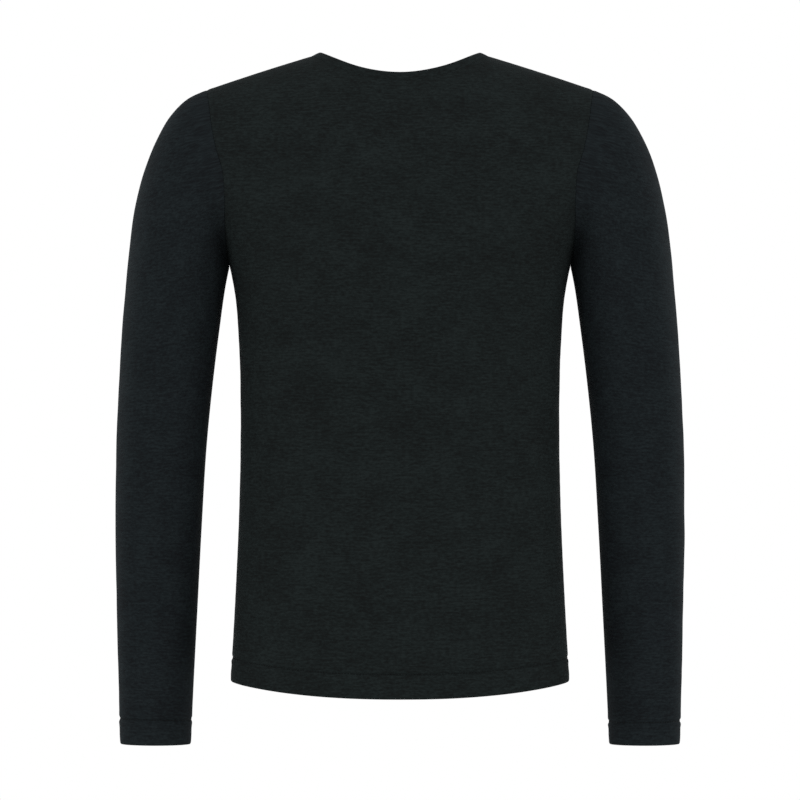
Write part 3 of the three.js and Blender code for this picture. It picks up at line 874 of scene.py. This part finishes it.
# ---------------------------------------------------------------------------------------------------------
# The sleeves: two set-in sleeves of the same jersey, each one piece closed by a seam under the arm. They hang
# beside the body, bend forward a little below the elbow, and end in cuffs folded up inside and stitched. The
# allowances of the armholes are overlocked together and turned into the sleeves.

SLEEVE_LENGTH = 709.8
ARMHOLE_FADES = 170
SLEEVE_LEAVES_OVER = 75
# distance down the outer edge, outer edge x and z, inner edge x and z, half depth, reach forward
SLEEVE_SECTIONS = [
    (0, SHOULDER_X, SHOULDER_Z, ARMPIT_X, ARMPIT_Z, 71, 0),
    (24.6, 221.6, -47.3, 177.7, -219.5, 69.5, 0),
    (48.6, 238.9, -64, 178.3, -223, 67.5, 0),
    (81.2, 255.5, -92, 179.6, -229.5, 65, 0),
    (114.5, 267.2, -123.2, 181.5, -239, 62.5, 0.5),
    (146.6, 274.8, -154.4, 183.7, -252.5, 60, 1),
    (193.9, 281.5, -201.2, 187.3, -279, 57, 2),
    (256.6, 287.4, -263.6, 193.2, -325, 53, 4),
    (350.4, 293.4, -357.2, 201, -400, 47.5, 7),
    (459.8, 296.8, -466.6, 206.7, -488.3, 42.5, 12),
    (554, 295.8, -560.7, 211.1, -568.8, 38, 18),
    (664, 293.8, -670.8, 216.6, -672.6, 33, 25),
    (709.8, 292.6, -716.6, 218.7, -716.8, 31.5, 28),
]
SLEEVE_LINES = 54
SLEEVE_ROWS = 186
# the left cuff is turned up a little deeper than the right
CUFF_HEIGHTS = {1: 24.5, -1: 27}

# Creases by the distance round the arm from its outer line, less than 0 on the back of the arm, and the height.
# The elbow gathers most at the front, where the arm bends, and the forearm has short folds above the cuff.
SLEEVE_CREASES = {
    1: [
        (-40, -150, -90, -182, -150, -214, 0.9, 11),
        (-60, -196, -110, -232, -150, -262, 0.8, 10),
        (60, -150, 110, -188, 160, -216, 1.1, 10),
        (70, -216, 110, -246, 140, -276, 0.9, 9),
        (-20, -398, -66, -410, -116, -404, 0.7, 10),
        (-36, -446, -80, -452, -118, -446, 0.6, 8),
        (24, -372, 70, -386, 118, -378, 1.3, 8),
        (20, -404, 66, -412, 116, -402, 1.5, 8),
        (26, -436, 70, -442, 112, -430, 1.1, 7),
        (-14, -556, -56, -566, -94, -560, 0.6, 9),
        (-30, -606, -64, -614, -92, -606, 0.7, 7),
        (-8, -640, -50, -650, -88, -644, 0.7, 7),
        (10, -566, 50, -574, 90, -566, 0.8, 8),
        (12, -604, 48, -612, 86, -604, 0.9, 7),
        (4, -638, 44, -648, 84, -642, 0.8, 7),
        (-16, -670, -46, -674, -80, -668, 0.6, 6),
    ],
    -1: [
        (-50, -158, -100, -190, -152, -222, 0.8, 12),
        (-70, -214, -110, -246, -146, -280, 0.7, 9),
        (56, -160, 104, -194, 158, -226, 1.0, 11),
        (74, -230, 112, -258, 138, -290, 0.9, 10),
        (-24, -384, -70, -396, -118, -390, 0.7, 9),
        (-14, -428, -64, -440, -114, -436, 0.7, 10),
        (20, -366, 72, -378, 118, -372, 1.2, 8),
        (26, -396, 70, -408, 116, -398, 1.5, 9),
        (22, -432, 66, -440, 112, -428, 1.2, 7),
        (-20, -540, -58, -552, -96, -546, 0.6, 8),
        (-12, -590, -52, -600, -92, -594, 0.8, 8),
        (-26, -628, -60, -636, -90, -630, 0.7, 6),
        (14, -552, 52, -562, 92, -554, 0.8, 8),
        (8, -592, 46, -602, 86, -596, 0.8, 7),
        (12, -630, 46, -638, 84, -630, 0.9, 7),
        (-6, -662, -44, -668, -80, -660, 0.6, 6),
    ],
}


# The sleeves' jersey is drawn a shade bluer than the body's.
charcoal_blue = merino_jersey("merino_jersey_charcoal_melange_sleeves", "#111315", "#15191b", "#1a1f21")


def sleeve_line(panel, turn, distances):
    """One line down the right sleeve. The turn is 0 at the shoulder and 1 at the armpit."""
    share = (1 + math.cos(math.pi * turn)) / 2

    def section(along):
        outer_x, outer_z, inner_x, inner_z, deep, forward = (
            read_table(SLEEVE_SECTIONS, column, along) for column in range(1, 7)
        )
        y = forward + panel["facing"] * deep * math.sin(math.pi * turn)
        return Vector((mix(inner_x, outer_x, share), y, mix(inner_z, outer_z, share)))

    seam, _, across, fold = armhole_frame(panel, 1 - turn)
    start = section(0)
    seam_shape = seam - start
    first = 5
    leaving = section(first) - start - seam_shape * (2 * first / ARMHOLE_FADES)
    wanted = across * (leaving.length / first) - leaving / first
    line = []
    for along in distances:
        point = section(along) + seam_shape * max(0, 1 - along / ARMHOLE_FADES) ** 2
        if along < SLEEVE_LEAVES_OVER:
            point += wanted * (along * (1 - along / SLEEVE_LEAVES_OVER) ** 2 * (1 - fold))
        line.append(point)
    line[0] += across * SEAM_GAP / 2
    return line


CLOSING_REACH, CLOSING_THICKNESS = 1.3, 0.35


def armhole_closing(name, side):
    """Where the armhole is sewn, the two edges meet under the seam, so that no light passes through it."""
    places = [(BACK, k / SLEEVE_LINES) for k in range(SLEEVE_LINES)]
    places += [(FRONT, 1 - k / SLEEVE_LINES) for k in range(SLEEVE_LINES)]
    corners = [(-1, 0), (1, 0), (1, CLOSING_THICKNESS), (-1, CLOSING_THICKNESS)]
    rows = [[], [], [], []]
    for panel, step in places:
        seam, out, across, fold = armhole_frame(panel, step)
        inwards_way = -over_seam(seam, out, fold).normalized()
        # just under the cloth, and in the fold itself at the armpit
        depth = mix(0.85, 0.12, fold)
        for row, (way, deeper) in zip(rows, corners):
            p = seam + across * (way * CLOSING_REACH) + inwards_way * (depth + deeper)
            row.append(Vector((side * p.x, p.y, p.z)))
    flat = [[(k * 0.005, r * 0.002) for k in range(len(places) + 1)] for r in range(2)]
    closing = cloth_shell(name, rows[:2], rows[:1:-1], flat, wraps=True)
    closing.data.materials.append(charcoal)
    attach(closing, "root")
    return closing


def sleeve(name, side):
    stitches = SLEEVE_LENGTH - CUFF_HEIGHTS[side]
    from_cuff = hem_steps(SLEEVE_LENGTH, stitches, -1)
    start = from_cuff[-1]
    near_seam = [0, 0.7, 1.4, 2.4]
    distances = near_seam + [mix(4, start, i / SLEEVE_ROWS) for i in range(SLEEVE_ROWS)] + from_cuff[::-1]
    lines = [sleeve_line(BACK, 1 - k / SLEEVE_LINES, distances) for k in range(SLEEVE_LINES)]
    lines += [sleeve_line(FRONT, k / SLEEVE_LINES, distances) for k in range(SLEEVE_LINES)]
    grid = [[line[i] for line in lines] for i in reversed(range(len(distances)))]
    if side < 0:
        grid = [[Vector((-p.x, p.y, p.z)) for p in row] for row in grid]
    rows, columns = len(grid), len(grid[0])
    out = grid_normals(grid, wraps=True)
    if side < 0:
        out = [[-way for way in row] for row in out]
    heights = [running_lengths([row[c] for row in grid]) for c in range(columns)]
    outer, inner, flat = ([[] for _ in range(rows)] for _ in range(3))
    for r in range(rows):
        lengths = running_lengths(grid[r] + grid[r][:1])
        middle = lengths[SLEEVE_LINES]
        for c in range(columns + 1):
            p, way = grid[r][c % columns], out[r][c % columns]
            u = lengths[c] - middle
            # the upper arm leans out, and the courses run square across it
            lean = 0.17 * smooth(p.z, -560, -160)
            flat[r].append((u * MM, (p.z + lean * (abs(p.x) - 240)) * MM + 0.9))
            if c == columns:
                continue
            above = heights[c][r]
            to_armhole = heights[c][-1] - above
            to_underarm = min(lengths[c], lengths[-1] - lengths[c])
            past_stitches = above - heights[c][STITCH_ROW]
            away = smooth(to_armhole, 3, 30) * smooth(to_underarm, 2, 12)
            press = (crease_depth(SLEEVE_CREASES[side], u, p.z) + drift(p, 4.1 + side)) * away
            press += seam_valley(to_armhole)
            press += stitch_valley(past_stitches, tightness(u, 1.4 * side))
            press += 0.7 * seam_valley(to_underarm) * smooth(to_armhole, 8, 40)
            pucker = math.sin(u / 1.9 + 2 * math.sin(u / 27)) * hump(past_stitches, 4.5)
            press += 0.08 * pucker
            face, inside = two_faces(p, way, press, above, r, 0.2)
            outer[r].append(face)
            inner[r].append(inside)
    if side < 0:
        outer, inner, out = ([row[:1] + row[:0:-1] for row in rows] for rows in (outer, inner, out))
        flat = [row[::-1] for row in flat]
    return cloth_shell(name, outer, inner, flat, wraps=True), {"outer": outer, "inner": inner, "out": out}


for side, hand in ((1, "right"), (-1, "left")):
    piece, made = sleeve(f"top_sleeve_{hand}", side)
    piece.data.materials.append(charcoal_blue)
    inner, out = made["inner"], made["out"]
    run = [([inner[r][k] for k in range(6)], out[r][0]) for r in range(STITCH_ROW + 3, len(inner) - 3)]
    ring = [([inner[len(inner) - 1 - k][c] for k in range(9)], out[-1][c]) for c in range(len(out[-1]))]
    ring.append(ring[0])
    overlocked = [(overlock_path(run), False), (overlock_path(ring), True)]
    details = [
        seam_allowance(f"sleeve_{hand}_allowance", run),
        seam_allowance(f"armhole_{hand}_allowance", ring),
        armhole_closing(f"armhole_{hand}_closing", side),
        sewn(f"sleeve_{hand}_overlock", looped_thread, overlocked, OVERLOCK),
        sewn(f"cuff_{hand}_looper", looped_thread, [(hem_looper_path(made), False)], OVERLOCK),
        sewn(f"cuff_{hand}_stitches", straight_stitches, [(hem_row(made), True)], HEM_STITCHES),
    ]
    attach(piece, "root")
    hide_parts(f"sleeve_{hand}")


# ---------------------------------------------------------------------------------------------------------
# The neckband: a narrow strip of the same jersey, folded along its middle and sewn into the neckline with the
# fold up. It is slightly shorter than the neckline, so it stands a little and rolls in at the fold.

BAND_CLEARANCE = 0.04
LIFT_AT_NECK_POINT = 0.16

# The outer and the inner face of the band, each from the seam up to the fold: how high, and how far out
BAND_OUTER = [(0, -0.5), (0, -0.1), (0.3, 0.02), (1, 0.1), (3, 0.25), (5, 0.3), (7, 0.25), (8.6, 0.1)]
BAND_OUTER += [(9.7, -0.35)]
BAND_INNER = [(up, -1.85) for up in (0.1, 1, 2, 3, 4.4)]
BAND_INNER += [(6, -1.84), (7.6, -1.78), (8.9, -1.55), (9.7, -1.1)]


def band_stations(panel, neckline):
    """Where the band meets one panel: a point, the way out, and the way that the band rises."""
    line = [(p, way) for p, way in neckline if abs(p.x) < NECK_POINT_X + 0.5]
    stations = []
    for k, (p, way) in enumerate(line):
        ends = k in (0, len(line) - 1)
        tangent = line[min(k + 1, len(line) - 1)][0] - line[max(k - 1, 0)][0]
        if ends:
            tangent, way = Vector((0, 1, 0)), Vector((way.x, 0, way.z))
        tangent.normalize()
        way = (way - tangent * way.dot(tangent)).normalized()
        upward = way.cross(tangent).normalized()
        if upward.z < 0:
            upward.negate()
        lift = mix(panel["band_lift"], LIFT_AT_NECK_POINT, min(1, abs(p.x) / NECK_POINT_X) ** 2)
        rising = (upward + Vector((0, 0, lift))).normalized()
        foot = Vector((p.x, 0, p.z)) if ends else p
        stations.append((foot + upward * BAND_CLEARANCE, way, rising))
    return stations


stations = band_stations(BACK, back_made["neckline"]) + band_stations(FRONT, front_made["neckline"])[1:-1]
band_length = running_lengths([foot for foot, _, _ in stations])
grids = []
for profile in (BAND_OUTER, BAND_INNER):
    rows = []
    for up, proud in profile:
        row = []
        for (foot, way, rising), along in zip(stations, band_length):
            roll = 0.12 * math.sin(along / 21) + 0.08 * math.sin(along / 8.3 + 1)
            pucker = 0.05 * math.sin(along / 1.7) * math.exp(-up / 2)
            row.append(foot + rising * up + way * (proud + (roll * up / 10) + pucker))
        rows.append(row)
    grids.append(rows)
flat = [[(a * MM, up * MM + 2) for a in [*band_length, band_length[-1] + 6]] for up, _ in BAND_OUTER]
neckband = cloth_shell("top_neckband", *grids, flat, wraps=True)
neckband.data.materials.append(charcoal)
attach(neckband, "root")
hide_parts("neckband")


# ---------------------------------------------------------------------------------------------------------
# The studio: a pale floor well below the top, even white light all round, soft boxes above and at each corner,
# and a long lens level with the chest, square on to the back.

SENSOR, CAMERA_AWAY, CHEST_LEVEL, PICTURE_WIDTH = 36, 5, -0.3572, 0.832
FLOOR_LEVEL, FLOOR_RADIUS, FLOOR_SIDES = -1.4, 4, 64

scene = bpy.context.scene
camera_data = bpy.data.cameras.new("camera")
camera_data.lens = SENSOR * CAMERA_AWAY / PICTURE_WIDTH
camera_data.sensor_width = SENSOR
camera = new_object("camera", camera_data)
camera.location = (0, -CAMERA_AWAY, CHEST_LEVEL)
camera.rotation_euler = (math.pi / 2, 0, 0)
scene.camera = camera

floor_mesh = bpy.data.meshes.new("floor")
turns = [math.tau * k / FLOOR_SIDES for k in range(FLOOR_SIDES)]
ring = [(FLOOR_RADIUS * math.cos(turn), FLOOR_RADIUS * math.sin(turn), FLOOR_LEVEL) for turn in turns]
floor_mesh.from_pydata(ring, [], [list(range(FLOOR_SIDES))])
floor = new_object("floor", floor_mesh)
pale = bpy.data.materials.new("pale_floor")
pale.use_nodes = True
paint = pale.node_tree.nodes["Principled BSDF"].inputs
paint["Base Color"].default_value = linear("#d4d4d2")
paint["Roughness"].default_value = 0.9
floor_mesh.materials.append(pale)
floor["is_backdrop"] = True

world = bpy.data.worlds.new("studio")
world.use_nodes = True
glow = world.node_tree.nodes["Background"].inputs
glow["Color"].default_value = (1, 1, 1, 1)
glow["Strength"].default_value = 1
scene.world = world

# a name, a place, a power and a width each
soft_boxes = [("soft_box_above", (0, -0.4, 2.6), 14, 2.4)]
for face, y in (("back", -2.2), ("front", 2.2)):
    for hand, x in (("left", -3.2), ("right", 3.2)):
        soft_boxes.append((f"soft_box_{face}_{hand}", (x, y, -0.3), 42, 2.0))
for name, place, power, width in soft_boxes:
    light_data = bpy.data.lights.new(name, "AREA")
    light_data.energy = power
    light_data.color = (0.93, 0.98, 1)
    light_data.size = width
    light = new_object(name, light_data)
    light.location = place
    aim = Vector((0, 0, -0.35)) - light.location
    light.rotation_euler = aim.to_track_quat("-Z", "Y").to_euler()

scene.view_settings.view_transform = "Standard"

sizes = [[list(corner) for corner in box] for box in (cad_box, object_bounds())]
